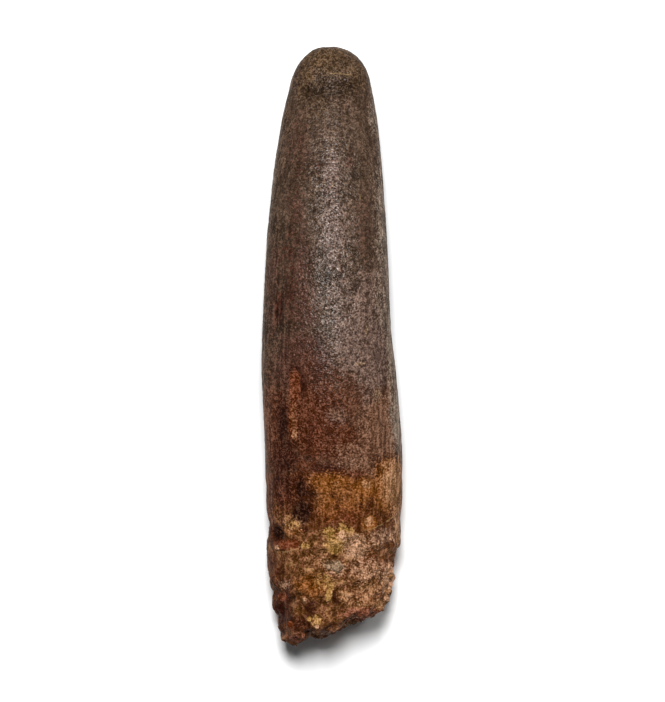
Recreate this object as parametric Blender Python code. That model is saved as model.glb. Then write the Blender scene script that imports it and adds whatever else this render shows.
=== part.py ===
"""Fossil titanosaur tooth: a slender peg of a crown on a short broken root with sandstone cemented to it.

It lies on its hollow side, as such a tooth does on a table, with the bulging side up. The tip points along +Y,
+Z is up, and the origin is under the middle of the tooth, on the surface that it rests on. Crown, root and cemented
sandstone turned to stone together, so they are one solid. Lengths are in millimetres until the last step.
"""

import math
from typing import NamedTuple

import bmesh
import bpy
from mathutils import Vector, noise

MM = 0.001


class Edge(NamedTuple):
    """An uneven edge across the tooth: its place, how far and how often it wavers, its slope and its softness."""

    y: float
    waver: float
    waver_size: float
    slope: float
    softness: float
    seed: float


# The two ends of the tooth
TIP_Y = 20.07
BREAK_Y = -19.1

# Half the width at each place along the tooth, and how far its middle line bows sideways and upwards there
HALF_WIDTH = (
    (-20, 3.5), (-18.4, 3.95), (-17, 4.04), (-15.4, 4.35), (-13.8, 4.42), (-12.7, 4.38), (-11.7, 4.42),
    (-10.6, 4.54), (-7.5, 4.56), (-1.5, 4.46), (0.1, 4.33), (2.8, 4.19), (6.5, 4.0), (9.7, 3.77), (12.9, 3.42),
    (15.6, 3.03), (18, 2.64), (20, 2.34),
)
SIDEWAYS_BOW = (
    (-20, 0.0), (-17, 0.05), (-15.4, -0.05), (-14.2, 0.0), (-12.5, 0.1), (-7.4, 0.04), (-3.6, -0.12),
    (-1.5, -0.27), (1.2, -0.4), (9.7, -0.36), (15.6, -0.17), (20, -0.3),
)
UPWARD_BOW = (
    (-20, 2.9), (-15, 2.77), (-9, 3.2), (0, 3.98), (6, 3.7), (11, 2.9), (15, 1.95), (18, 1.32), (20, 1.1),
)

# How deep the bulging and the hollow side are as shares of half the width, and how square the sections are
BULGE_SHARE = 0.865
HOLLOW_SHARE = 0.7
SECTION_POWER = 2.15

# How far from each end its rounding starts, and the slant of the break, which reaches lowest on the left
TIP_ROUNDING = 2.3
BREAK_ROUNDING = 1.0
ROUNDING_POWER = 2.3
BREAK_SLANT = 0.37
SLANT_FADE_Y = -12.0

# The edges of the enamel, of the sandy crust round the root and of the sandstone below it
ENAMEL_EDGE = Edge(y=-8.5, waver=0.55, waver_size=2.6, slope=0.09, softness=0.4, seed=11.0)
CRUST_TOP = Edge(y=-12.0, waver=0.5, waver_size=2.2, slope=0.06, softness=0.25, seed=23.0)
CRUST_FOOT = Edge(y=-13.6, waver=0.6, waver_size=1.9, slope=0.06, softness=0.35, seed=31.0)
SANDSTONE_EDGE = Edge(y=-15.3, waver=0.4, waver_size=1.6, slope=0.0, softness=0.7, seed=41.0)
SHOULDER_EDGE = Edge(y=-13.35, waver=0.0, waver_size=1.0, slope=0.0, softness=0.3, seed=0.0)

# How high the ledges at those edges are, and where across the tooth the shoulder on the right steps in
ENAMEL_STEP = 0.1
ENAMEL_STEP_LEAST = 0.6
CRUST_STEP = 0.2
SHOULDER_STEP = 0.18
SHOULDER_START_X = 2.2
SHOULDER_END_X = 3.8

# The enamel's lengthwise flutes, as (number round the girth, turn, share of the height), and its slight swells
FLUTES = ((9, 0.7, 0.6), (14, 2.1, 0.4))
FLUTE_HEIGHT = 0.035
SWELL_SIZE = 5.5
SWELL_HEIGHT = 0.07

# The lumps of the crust and of the cemented sandstone, and the larger swells that carry them
LUMP_SIZE = 1.5
LUMP_HEIGHT = 0.34
LUMP_JOINT = 0.55
LUMP_CORE = 0.6
CRUST_SWELL_SIZE = 1.2
SANDSTONE_SWELL_SIZE = 2.4
SANDSTONE_SWELL_SHARE = 0.8

# What makes up the height of the crust's ledge, as shares of its step: an even part, lumps and swells
CRUST_BASE_SHARE = 0.35
CRUST_LUMP_SHARE = 0.5
CRUST_SWELL_SHARE = 0.6

# Where each noise starts
SEEDS = {
    "swell": 3.0, "crust lumps": 5.0, "enamel step": 13.0, "crust swell": 37.0, "lumps": 43.0, "lump swell": 53.0,
}

# Single lumps and pits on the bulging side: across, along, half width, half length and height
SPOTS = {
    "worn patch at the tip": (-0.1, 17.4, 2.2, 1.3, -0.06),
    "chip where the enamel flaked off": (-2.45, -2.9, 0.6, 1.3, -0.14),
    "knob in the seam": (-2.7, -11.9, 0.85, 0.75, 0.22),
    "hole beside the knob": (-3.6, -12.45, 0.55, 0.65, -0.4),
    "pale granules in the seam": (0.5, -12.5, 1.1, 0.9, 0.14),
    "large sand grain": (-0.3, -16.7, 0.7, 0.75, 0.2),
    "notch in the broken end": (-1.5, -19.4, 0.55, 0.9, -0.4),
    "hollow in the broken end": (1.6, -18.6, 0.9, 0.7, -0.3),
    "lump at the right of the broken end": (3.2, -17.8, 0.7, 0.7, 0.3),
}

# The share of a spot's size where it starts to fade, and the heights over the middle line where all spots fade in
SPOT_CORE = 0.4
SPOT_FADE = (-1.2, 0.0)

# The lattice: faces along a quarter of the girth, loops on each stretch, and the share of girth that caps start at
QUARTER_FACES = 14
ROOT_LOOPS = 29
CROWN_LOOPS = 50
TIP_CROWDING = 0.5
BREAK_CAP_SHARE = 0.9
TIP_CAP_SHARE = 0.8

FOSSIL_BROWN = (0.118, 0.062, 0.039, 1.0)
FOSSIL_ROUGHNESS = 0.45


def soft_step(low, high, value):
    """0 below low, 1 above high, and a smooth rise between them."""
    t = min(1.0, max(0.0, (value - low) / (high - low)))
    return t * t * (3 - 2 * t)


def along(stations, y):
    """The value at y on a smooth curve through the stations."""
    last = len(stations) - 1
    k = next((i for i in range(last) if y < stations[i + 1][0]), last - 1)
    (y0, v0), (y1, v1) = stations[k], stations[k + 1]
    before, after = stations[max(k - 1, 0)], stations[min(k + 2, last)]
    t = min(1.0, max(0.0, (y - y0) / (y1 - y0)))
    slope0 = (v1 - before[1]) / (y1 - before[0]) * (y1 - y0)
    slope1 = (after[1] - v0) / (after[0] - y0) * (y1 - y0)
    return v0 + (v1 - v0) * t * t * (3 - 2 * t) + slope0 * t * (1 - t) ** 2 - slope1 * t * t * (1 - t)


def rounded(distance, reach):
    """The share of the girth that is left at a distance from an end that is rounded over that reach."""
    t = 1 - min(1.0, max(0.0, distance / reach))
    return (1 - t**ROUNDING_POWER) ** (1 / ROUNDING_POWER)


def rounded_distance(share, reach):
    """The distance from such an end at which that share of the girth is left."""
    return reach * (1 - (1 - share**ROUNDING_POWER) ** (1 / ROUNDING_POWER))


def loop_places():
    """The places of the lattice's loops, closer together on the rough root and towards the tip."""
    start = BREAK_Y + rounded_distance(BREAK_CAP_SHARE, BREAK_ROUNDING)
    end = TIP_Y - rounded_distance(TIP_CAP_SHARE, TIP_ROUNDING)
    root = [start + (ENAMEL_EDGE.y - start) * k / ROOT_LOOPS for k in range(ROOT_LOOPS)]
    crown = []
    for k in range(CROWN_LOOPS + 1):
        t = k / CROWN_LOOPS
        t += TIP_CROWDING * (math.sin(t * math.pi / 2) - t)
        crown.append(ENAMEL_EDGE.y + (end - ENAMEL_EDGE.y) * t)
    return root + crown


def box_lattice(bm, loops):
    """A closed box from -1 to 1, with that many loops round its sides and a square grid on each end."""
    bmesh.ops.create_cube(bm, size=2.0)
    lengthwise = [e for e in bm.edges if abs(e.verts[0].co.y - e.verts[1].co.y) > 1]
    bmesh.ops.subdivide_edges(bm, edges=lengthwise, cuts=loops - 2, use_grid_fill=True)
    crosswise = [e for e in bm.edges if abs(e.verts[0].co.y - e.verts[1].co.y) < 1e-4]
    bmesh.ops.subdivide_edges(bm, edges=crosswise, cuts=QUARTER_FACES - 1, use_grid_fill=True)


def section_point(y, across, up):
    """The point of the smooth tooth on the loop at y, in the direction (across, up) of the unit circle."""
    girth = rounded(TIP_Y - y, TIP_ROUNDING) * rounded(y - BREAK_Y, BREAK_ROUNDING)
    across = girth * math.copysign(abs(across) ** (2 / SECTION_POWER), across)
    up = girth * math.copysign(abs(up) ** (2 / SECTION_POWER), up)
    slant = BREAK_SLANT * (1 - soft_step(BREAK_Y, SLANT_FADE_Y, y))
    y += slant * across * along(HALF_WIDTH, y)
    half_width = along(HALF_WIDTH, y)
    depth = half_width * (BULGE_SHARE if up > 0 else HOLLOW_SHARE)
    return Vector((along(SIDEWAYS_BOW, y) + half_width * across, y, along(UPWARD_BOW, y) + depth * up))


def lattice_point(corner, places):
    """The point of the smooth tooth that a point of the box lattice stands for."""
    a, b = corner.x, corner.z
    across, up = a * math.sqrt(1 - b * b / 2), b * math.sqrt(1 - a * a / 2)
    reach = min(1.0, max(math.hypot(across, up), 1e-9))
    loop = round((corner.y + 1) / 2 * (len(places) - 1))
    y = places[loop]
    if loop == 0:
        y = BREAK_Y + rounded_distance(BREAK_CAP_SHARE * reach, BREAK_ROUNDING)
    elif loop == len(places) - 1:
        y = TIP_Y - rounded_distance(TIP_CAP_SHARE * reach, TIP_ROUNDING)
    return section_point(y, across / reach, up / reach)


def waver(point, size, seed):
    """Smooth noise from about -1 to 1 that turns over every size millimetres."""
    return noise.noise(point / size + Vector((seed, 0, 0)))


def cobbles(point, size, seed):
    """1 at the middle of each round lump, falling to 0 in the joints between them."""
    nearest, second = noise.voronoi(point / size + Vector((seed, 0, 0)))[0][:2]
    return soft_step(0.0, LUMP_CORE, second - nearest)


def beyond(edge, point):
    """0 on the root's side of an edge, 1 on the tip's side, and a smooth rise between them."""
    y = edge.y + edge.waver * waver(point, edge.waver_size, edge.seed) + edge.slope * point.x
    return soft_step(y - edge.softness, y + edge.softness, point.y)


def flutes(point):
    """The lengthwise ridges and hollows of the enamel, and its slight swells."""
    around = math.atan2(point.z - along(UPWARD_BOW, point.y), point.x - along(SIDEWAYS_BOW, point.y))
    ridges = sum(share * math.sin(number * around + turn) for number, turn, share in FLUTES)
    enamel = soft_step(ENAMEL_EDGE.y - 1, ENAMEL_EDGE.y + 1, point.y)
    return enamel * FLUTE_HEIGHT * ridges + SWELL_HEIGHT * waver(point, SWELL_SIZE, SEEDS["swell"])


def enamel_step(point):
    """The root lies lower than the enamel, more so in some places than in others."""
    unevenness = waver(point, 2 * LUMP_SIZE, SEEDS["enamel step"])
    return -ENAMEL_STEP * (ENAMEL_STEP_LEAST + unevenness) * (1 - beyond(ENAMEL_EDGE, point))


def crust_ledge(point):
    """The lumpy ledge of sandy crust round the root."""
    band = beyond(CRUST_FOOT, point) * (1 - beyond(CRUST_TOP, point))
    lumps = cobbles(point, LUMP_SIZE, SEEDS["crust lumps"])
    swell = waver(point, CRUST_SWELL_SIZE, SEEDS["crust swell"])
    height = CRUST_BASE_SHARE + CRUST_LUMP_SHARE * lumps + CRUST_SWELL_SHARE * swell
    return band * CRUST_STEP * height


def sandstone(point):
    """The lumps of the cemented sandstone at the broken end."""
    lumps = cobbles(point, LUMP_SIZE, SEEDS["lumps"]) - LUMP_JOINT
    swell = waver(point, SANDSTONE_SWELL_SIZE, SEEDS["lump swell"])
    return (1 - beyond(SANDSTONE_EDGE, point)) * LUMP_HEIGHT * (lumps + SANDSTONE_SWELL_SHARE * swell)


def shoulder(point):
    """The outline steps in on the right below the crust."""
    right = soft_step(SHOULDER_START_X, SHOULDER_END_X, point.x)
    return -SHOULDER_STEP * (1 - beyond(SHOULDER_EDGE, point)) * right


def spots(point):
    """The single lumps and pits on the bulging side."""
    upper = soft_step(*SPOT_FADE, point.z - along(UPWARD_BOW, point.y))
    height = 0.0
    for x, y, half_width, half_length, spot_height in SPOTS.values():
        away = math.hypot((point.x - x) / half_width, (point.y - y) / half_length)
        height += spot_height * (1 - soft_step(SPOT_CORE, 1.0, away))
    return upper * height


def relief(point):
    """How far the real surface stands out of the smooth one at a point."""
    forms = (flutes, enamel_step, crust_ledge, sandstone, shoulder, spots)
    return sum(form(point) for form in forms)


def rough_out(bm):
    """Moves the smooth surface along its normals to the real one."""
    bm.normal_update()
    places = [vert.co + vert.normal * relief(vert.co) for vert in bm.verts]
    for vert, place in zip(bm.verts, places):
        vert.co = place


def rest_on_flats(bm):
    """Cuts off flat what touches the table: the root's underside and the worn facet by the tip."""
    for vert in bm.verts:
        vert.co.z = max(vert.co.z, 0.0)


def centre(bm):
    """Puts the origin under the middle of the tooth's length and width."""
    for axis in (0, 1):
        values = [vert.co[axis] for vert in bm.verts]
        middle = (min(values) + max(values)) / 2
        for vert in bm.verts:
            vert.co[axis] -= middle


def fossil_material():
    material = bpy.data.materials.new("fossil_enamel_and_dentine")
    material.use_nodes = True
    shader = material.node_tree.nodes["Principled BSDF"]
    shader.inputs["Base Color"].default_value = FOSSIL_BROWN
    shader.inputs["Roughness"].default_value = FOSSIL_ROUGHNESS
    shader.inputs["Metallic"].default_value = 0.0
    return material


def make_tooth(collection):
    places = loop_places()
    bm = bmesh.new()
    box_lattice(bm, len(places))
    for vert in bm.verts:
        vert.co = lattice_point(vert.co, places)
    bmesh.ops.recalc_face_normals(bm, faces=bm.faces)
    rough_out(bm)
    rest_on_flats(bm)
    centre(bm)
    bmesh.ops.scale(bm, vec=(MM, MM, MM), verts=bm.verts)
    mesh = bpy.data.meshes.new("tooth")
    bm.to_mesh(mesh)
    bm.free()
    mesh.shade_smooth()
    mesh.materials.append(fossil_material())
    collection.objects.link(bpy.data.objects.new("tooth", mesh))


def clear_scene():
    for obj in list(bpy.data.objects):
        bpy.data.objects.remove(obj)


def main():
    clear_scene()
    collection = bpy.data.collections.new("fossil_titanosaur_tooth")
    bpy.context.scene.collection.children.link(collection)
    make_tooth(collection)


main()
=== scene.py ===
"""Fossil titanosaur tooth: its finished surface, the sand grains stuck to its root, and a plain stage."""

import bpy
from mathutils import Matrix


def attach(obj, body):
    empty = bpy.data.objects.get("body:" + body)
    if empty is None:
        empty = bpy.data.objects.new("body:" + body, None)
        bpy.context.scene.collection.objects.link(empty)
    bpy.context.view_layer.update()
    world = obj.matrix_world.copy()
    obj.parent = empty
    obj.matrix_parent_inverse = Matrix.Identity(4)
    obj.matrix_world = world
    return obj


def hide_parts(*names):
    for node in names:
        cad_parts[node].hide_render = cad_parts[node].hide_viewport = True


bl_info = {
    "name": "Fossil Titanosaur Tooth",
    "version": (1, 0, 0),
    "blender": (4, 5, 0),
    "location": "View3D > Sidebar > Fossil",
    "description": "Dresses a fossil tooth in wrinkled enamel, stained root and cemented sandstone",
    "category": "Object",
}

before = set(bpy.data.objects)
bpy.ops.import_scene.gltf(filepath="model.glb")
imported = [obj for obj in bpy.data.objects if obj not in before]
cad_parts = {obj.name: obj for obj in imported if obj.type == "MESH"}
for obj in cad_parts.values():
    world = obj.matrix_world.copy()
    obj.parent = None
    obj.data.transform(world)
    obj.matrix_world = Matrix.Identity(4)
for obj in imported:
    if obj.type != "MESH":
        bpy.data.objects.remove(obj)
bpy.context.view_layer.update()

import math

import bmesh
import bpy
import numpy as np
from mathutils import Matrix, Vector, kdtree, noise

MM = 0.001

# Subdivision pulls corners in, so the cage is moved out to make up for that, this many times
SETTLING_ROUNDS = 2

# How many sand grains are tried on each square metre, before those too close to another are dropped
MOST_GRAINS = 6e7

# How many shapes of sand grain there are, and how far apart in the noise they are taken
GRAIN_SHAPES, SHAPE_STEP = 3, 3.0

# How high a lone grain is, as a share of its width, and how strongly the minerals' pattern shows on it
LONE_FLATNESS, LONE_PATTERN = 0.7, 0.8

# Places are in millimetres in the frame's axes, seen from above: x across the tooth, y along it, tip at +y
ENAMEL_EDGE = ((-4.8, -8.6), (-2.4, -8.4), (-1.2, -8.3), (0.4, -8.4), (1.4, -8.9), (2.4, -8.2), (4.8, -7.6))
CRUST_EDGE = (
    (-4.8, -11.9), (-3.5, -11.3), (-2.4, -11.3), (-1.9, -12.0), (-1.2, -12.4), (-0.4, -12.1), (0.5, -12.4),
    (1.2, -12.1), (1.9, -12.4), (2.6, -12.9), (3.2, -13.4), (4.8, -13.7),
)

# Fine cracks and dark seams, and thin pale veins: paths of (x, y)
CRACKS = (
    ((0.62, 5.5), (0.68, 5.0), (0.66, 4.6)),
    ((0.8, 4.2), (0.95, 3.5), (0.92, 2.8), (1.15, 2.1), (1.2, 1.9)),
    ((-0.85, 10.05), (-0.4, 10.12), (0.05, 10.0)),
    ((-2.95, -1.66), (-2.5, -1.6), (-2.0, -1.66)),
    ((-2.02, -1.7), (-2.06, -2.4), (-2.02, -3.3)),
    ((-2.1, -8.1), (-1.4, -8.2), (-0.6, -8.35), (0.2, -8.55), (0.9, -8.5), (1.6, -8.75)),
    ((-1.7, -13.3), (-0.9, -13.5), (-0.2, -13.6)),
    ((1.3, -13.1), (1.9, -13.0), (2.3, -13.2)),
    ((2.8, -12.1), (3.6, -11.9), (4.2, -11.4)),
)
VEINS = (
    ((-0.3, 18.1), (0.3, 18.15), (1.0, 18.05), (1.3, 18.15)),
    ((2.0, -12.3), (2.7, -12.15), (3.3, -11.9), (3.9, -11.5), (4.4, -11.0)),
    ((1.75, 10.1), (1.9, 9.95), (1.85, 9.75), (2.1, 9.6)),
    ((-4.0, -13.75), (-3.0, -13.7), (-2.2, -13.45), (-1.8, -13.2)),
    ((0.5, -13.0), (0.9, -12.95), (1.35, -13.3)),
    ((3.0, -14.2), (3.8, -13.8), (4.6, -13.2)),
)

# How the two are drawn: half width in millimetres, strength, and the noise below which they break off
LINES = {"crack": (0.07, 0.8, 0.4), "vein": (0.05, 0.5, 0.42)}

# How far from its path a line's mask reaches, and the distance given to points that no path is near
LINE_REACH, FAR_AWAY = 0.5, 9.0

# How much noise bends the lines, in millimetres, and how softly it breaks them off
LINE_WAVER, GAP_EDGE = 0.2, 0.16

# Where enamel flaked off along its lengthwise grain: (left, right, lower end, upper end, share of the depth)
FLAKES = ((-2.87, -2.07, -3.7, -1.68, 1.0), (-2.8, -2.35, -6.1, -3.5, 0.8))

# Single holes, which the material also paints dark as painted shade in them: (x, y, half width, half length,
# share of the depth)
HOLES = (
    (-3.67, 2.1, 0.14, 0.3, 1.0), (0.53, 5.85, 0.13, 0.13, 1.0), (1.1, 6.7, 0.1, 0.1, 0.7),
    (-2.75, 7.7, 0.12, 0.2, 0.6), (-0.75, 16.9, 0.2, 0.25, 0.8), (-1.6, 17.0, 0.2, 0.2, 0.7),
    (0.45, 17.4, 0.2, 0.15, 0.7), (1.2, 17.3, 0.15, 0.25, 0.8), (1.05, -9.6, 0.12, 0.12, 0.5),
    (-3.55, -12.6, 0.4, 0.5, 0.4), (-0.45, 8.1, 0.1, 0.16, 0.5), (-0.95, 0.4, 0.12, 0.2, 0.6),
    (0.68, 5.1, 0.1, 0.6, 0.8), (0.95, 3.3, 0.08, 0.6, 0.5), (1.12, 2.4, 0.1, 0.5, 0.8),
    (-3.4, 2.7, 0.25, 0.6, 0.4),
)

# What minerals and wear did to the colour, and where some tints are painted light or a painted highlight: for
# each tint, places of (x, y, half width, half length, strength)
STAINS = {
    "worn": ("#3E2D1C", (
        (-0.2, 19.0, 2.2, 1.3, 0.9), (-1.7, 17.6, 0.9, 1.8, 0.7), (1.6, 18.0, 0.9, 1.4, 0.7),
        (-0.9, 15.9, 0.9, 1.2, 0.5),
    )),
    "wine": ("#3B2219", (
        (-2.2, 13.0, 1.2, 3.4, 0.4), (-3.9, 3.5, 0.8, 5.0, 0.5), (-2.0, 5.2, 1.0, 3.6, 0.6),
        (-2.0, 2.4, 1.6, 2.8, 0.6), (-2.4, 8.6, 0.9, 3.4, 0.5), (1.2, 12.4, 0.4, 1.0, 0.5),
        (-2.0, -1.4, 2.6, 3.2, 0.8), (2.0, 8.0, 0.9, 3.0, 0.4),
    )),
    "rust": ("#3A1B0C", (
        (-1.3, -4.8, 3.0, 3.2, 1.0), (0.4, -6.2, 2.0, 1.8, 0.8), (-2.4, -9.6, 1.9, 1.6, 0.8),
        (-1.4, -2.0, 1.2, 2.4, 0.5), (-2.0, -18.6, 1.2, 0.9, 0.8), (3.7, -16.0, 0.5, 1.4, 0.6),
        (-3.9, -12.6, 0.6, 1.4, 0.7), (-3.2, -16.5, 0.9, 1.6, 0.7),
    )),
    "russet": ("#3F1C0A", (
        (-1.3, -5.4, 1.5, 2.8, 1.0), (0.2, -6.4, 2.0, 1.8, 0.9), (-1.6, -8.0, 1.4, 0.9, 0.7),
        (-2.6, -9.6, 1.2, 1.8, 0.6), (-3.8, -5.4, 0.9, 3.6, 0.8), (0.6, -3.0, 2.4, 2.4, 0.5),
        (3.0, -7.2, 1.8, 1.4, 0.5), (0.6, -8.5, 2.6, 0.6, 0.9), (-3.9, -14.8, 1.0, 1.6, 0.6),
    )),
    "umber": ("#2D0F05", (
        (-3.1, -7.5, 1.1, 1.5, 0.8), (-3.3, -5.0, 0.5, 2.0, 0.8), (-1.25, -5.6, 0.16, 1.1, 0.9),
        (-2.9, 4.7, 0.5, 3.6, 0.5), (-3.5, 2.4, 0.4, 1.4, 0.7), (-2.0, -11.1, 0.7, 0.9, 1.0),
        (-2.1, -9.5, 0.4, 0.9, 0.9), (-3.6, -12.4, 0.35, 0.5, 1.0), (-3.4, -17.8, 0.9, 1.8, 0.8),
        (-0.3, -18.9, 1.0, 0.6, 0.6), (0.15, -16.6, 0.16, 0.6, 0.8), (-3.4, -9.4, 1.1, 1.8, 0.7),
        (-1.9, -12.2, 0.5, 0.35, 0.8), (-0.4, -8.1, 1.5, 0.4, 0.7), (2.4, 5.0, 0.3, 2.6, 0.3),
        (-0.9, 11.8, 0.25, 0.6, 0.5), (-1.4, -17.4, 0.6, 1.0, 0.6), (-1.4, -6.2, 0.7, 1.4, 0.4),
        (-1.3, -5.8, 1.0, 1.6, 0.4), (-2.5, -1.52, 0.55, 0.16, 1.0), (-1.98, -2.4, 0.14, 1.0, 0.9),
        (-3.3, 6.2, 0.5, 0.9, 0.5),
    )),
    "pitch": ("#1E0903", (
        (-2.0, -11.1, 0.8, 1.0, 1.0), (-2.1, -9.5, 0.4, 0.9, 0.7), (-1.4, -9.8, 0.6, 0.35, 0.6),
        (-1.6, -7.5, 0.4, 0.3, 0.8), (-3.5, -12.5, 0.4, 0.6, 1.0), (-1.5, -6.2, 0.3, 1.4, 0.5),
        (-3.2, -5.4, 0.35, 1.8, 0.6), (-2.9, 4.7, 0.3, 1.6, 0.3), (-1.9, -3.0, 0.3, 0.9, 0.4),
        (-3.1, -2.6, 0.2, 1.0, 0.5), (-2.5, -1.5, 0.5, 0.14, 0.9), (-2.9, -7.9, 0.5, 0.5, 0.4),
    )),
    "soot": ("#2A1D11", (
        (-1.4, 16.9, 0.8, 0.8, 0.8), (-0.4, 17.2, 0.8, 0.9, 0.8), (0.8, 17.2, 1.2, 0.9, 0.9),
        (0.6, 18.8, 0.7, 0.5, 0.6),
    )),
    # Grey: partly greyish worn enamel, partly a painted highlight along the middle of the crown
    "grey_and_painted_highlight": ("#523F36", (
        (0.0, 11.2, 0.8, 2.2, 0.7), (0.2, 7.5, 1.2, 3.0, 0.6), (0.8, 3.2, 1.3, 2.8, 0.5),
        (1.3, 0.5, 1.6, 2.8, 0.8), (2.2, 2.6, 1.2, 3.0, 0.7), (1.6, 0.2, 0.4, 0.45, 1.0),
        (1.45, -1.5, 0.6, 0.25, 0.9), (2.6, -3.5, 0.8, 1.2, 0.6), (2.6, -0.6, 1.6, 3.4, 0.8),
        (0.35, -4.7, 0.9, 0.7, 0.5), (3.4, -5.6, 1.0, 2.0, 0.5), (3.3, -12.6, 1.2, 0.6, 0.3),
        (3.0, 9.0, 0.6, 6.0, 0.3), (-1.0, 5.8, 0.5, 2.4, 0.3), (2.9, 3.0, 1.0, 3.5, 0.5),
    )),
    "plum": ("#583B2A", (
        (1.6, -7.4, 1.9, 1.3, 0.6), (0.4, -4.6, 0.8, 0.6, 0.5), (0.9, -9.8, 0.6, 0.9, 0.4),
        (2.6, -8.6, 0.8, 0.7, 0.6), (2.4, -5.6, 1.2, 1.6, 0.4), (3.5, -12.7, 1.4, 0.8, 0.8),
        (3.4, -5.4, 1.6, 2.8, 0.9),
    )),
    "ember": ("#52240C", (
        (-2.45, -2.6, 0.42, 1.1, 1.0), (-2.6, -4.9, 0.34, 1.6, 0.9), (-1.2, -6.0, 0.9, 2.2, 0.3),
        (-2.9, -13.2, 1.0, 0.45, 1.0), (0.6, -11.2, 2.2, 1.2, 0.5), (2.6, -16.7, 1.6, 0.8, 0.6),
        (-3.3, -16.7, 0.6, 0.35, 0.8), (4.0, -15.5, 0.4, 1.4, 0.8), (-2.7, -19.6, 0.8, 0.4, 0.6),
        (2.4, -14.6, 2.2, 1.2, 0.5), (-3.3, -10.2, 0.9, 1.4, 0.3), (-2.6, -12.0, 0.7, 0.5, 0.4),
    )),
    # Brick: a reddish tint, partly painted light on the lower rim of the break, which faces away from the key
    # lamp
    "brick_and_painted_light": ("#643825", (
        (2.4, -17.9, 2.0, 0.6, 1.0), (-2.2, -19.4, 0.9, 0.5, 0.6), (4.0, -16.2, 0.6, 1.6, 0.8),
        (0.6, -19.0, 1.2, 0.4, 0.6),
    )),
    "gold": ("#66390F", (
        (-0.05, -9.1, 1.8, 0.9, 0.8), (2.2, -9.4, 1.2, 0.9, 0.8), (3.9, -9.3, 1.4, 2.2, 0.95),
        (1.0, -9.9, 2.1, 1.6, 0.5), (2.5, -11.8, 0.6, 0.6, 1.0), (-2.6, -12.2, 0.9, 0.7, 0.5),
        (-1.3, -16.0, 1.6, 1.0, 0.7), (-0.2, -10.6, 1.0, 1.4, 0.5), (0.5, -12.7, 0.9, 0.5, 0.6),
    )),
    # Ash: partly greyish worn enamel, partly painted light that brightens the right side
    "ash_and_painted_light": ("#695A4D", (
        (4.4, 1.0, 0.9, 6.0, 0.8), (3.5, 9.0, 0.8, 6.0, 0.6), (4.7, -4.6, 1.0, 3.4, 0.9),
        (2.9, 15.5, 0.6, 2.0, 0.5), (3.4, 3.2, 0.8, 3.0, 0.4),
    )),
    "chalk": ("#6C5641", (
        (0.33, -14.7, 0.6, 0.5, 0.9), (-0.2, -14.6, 0.5, 0.4, 0.6), (2.3, 1.0, 0.2, 0.35, 0.8),
        (1.9, -1.2, 0.5, 0.2, 0.7), (3.0, -3.3, 0.3, 0.6, 0.6), (-0.5, 10.7, 0.25, 0.2, 0.7),
        (0.1, 10.7, 0.2, 0.25, 0.7),
    )),
    "honey": ("#7A5536", (
        (4.2, -9.2, 1.2, 2.2, 0.75), (2.3, -9.2, 0.5, 0.4, 0.6), (2.4, -11.7, 0.4, 0.4, 0.7),
        (0.2, -9.3, 0.5, 0.5, 0.4), (-2.5, -5.8, 0.2, 0.4, 1.0), (1.0, -16.6, 0.8, 0.6, 0.5),
        (2.4, -16.4, 1.4, 0.9, 0.5), (-2.58, -4.8, 0.2, 1.5, 0.9), (4.0, -16.0, 0.8, 1.4, 1.0),
        (3.5, -17.2, 1.0, 0.6, 0.8), (2.0, -17.2, 1.2, 0.3, 0.5), (4.5, -11.8, 0.5, 2.0, 0.8),
        (-2.6, -11.9, 0.8, 0.6, 0.6), (3.4, -12.7, 1.3, 0.6, 0.3), (-1.0, -14.2, 1.2, 0.8, 0.3),
    )),
    "fibre": ("#502E1D", (
        (-4.3, -5.0, 0.6, 3.6, 0.7), (-4.4, -10.4, 0.6, 2.4, 0.9),
    )),
    "straw": ("#7C5A2B", (
        (-0.2, -12.4, 0.45, 0.45, 1.0), (1.1, -12.4, 0.5, 0.4, 0.9), (0.2, -13.2, 0.9, 0.8, 0.9),
        (-1.8, -13.3, 0.5, 0.3, 0.7), (-2.6, -11.9, 0.6, 0.4, 0.5), (-0.6, -15.6, 0.9, 0.6, 0.5),
        (-1.0, -18.3, 0.5, 0.5, 0.6), (-0.2, -16.0, 0.5, 0.4, 0.7), (0.7, -12.2, 0.5, 0.6, 0.6),
        (1.6, -13.2, 0.7, 0.6, 0.9),
    )),
    "blush": ("#866248", (
        (1.6, -13.4, 1.0, 1.1, 0.9), (3.9, -15.5, 0.6, 1.2, 1.0), (2.3, -14.9, 1.8, 1.0, 0.55),
        (0.3, -14.9, 0.7, 0.6, 0.6), (0.9, -12.7, 0.8, 0.5, 0.6), (2.6, -13.2, 0.8, 0.4, 0.5),
        (3.4, -12.7, 1.4, 0.6, 0.4), (-3.2, -15.9, 0.5, 0.4, 0.5),
    )),
}

# How far the left outline is moved to the right, for the tip's worn shoulder: (y, distance)
LEFT_SHIFTS = (
    (-20.0, 0.0), (10.0, 0.0), (12.0, -0.1), (15.0, -0.12), (16.4, 0.0), (17.6, 0.12), (18.8, 0.3),
    (19.5, 0.42), (20.2, 0.2),
)

# Where the enamel's dark and pale grain, with its painted shade and highlight, shows most: (x, y, half width,
# half length, strength)
PEBBLY_PLACES = (
    (0.1, 10.5, 1.6, 5.5, 1.0), (0.4, 3.5, 2.2, 5.0, 0.9), (0.4, -3.5, 3.2, 5.5, 1.0),
    (1.2, -8.0, 3.0, 1.4, 1.0), (-0.2, 18.0, 2.6, 2.6, 2.2), (-3.0, -5.5, 1.4, 4.5, 2.4),
    (-2.6, -9.8, 2.0, 2.4, 2.0), (-4.2, 2.0, 0.9, 9.0, 1.2),
)

# Where the crust is smooth, with no grains standing out: (x, y, half width, half length, strength)
BARE_PLACES = (
    (-4.3, -14.5, 1.6, 4.5, 1.0), (3.6, -12.5, 1.6, 1.2, 1.0), (-2.6, -14.4, 1.6, 0.8, 1.0),
    (0.6, -12.9, 1.6, 0.8, 0.6), (-3.4, -18.5, 1.0, 2.0, 0.8),
)

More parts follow.
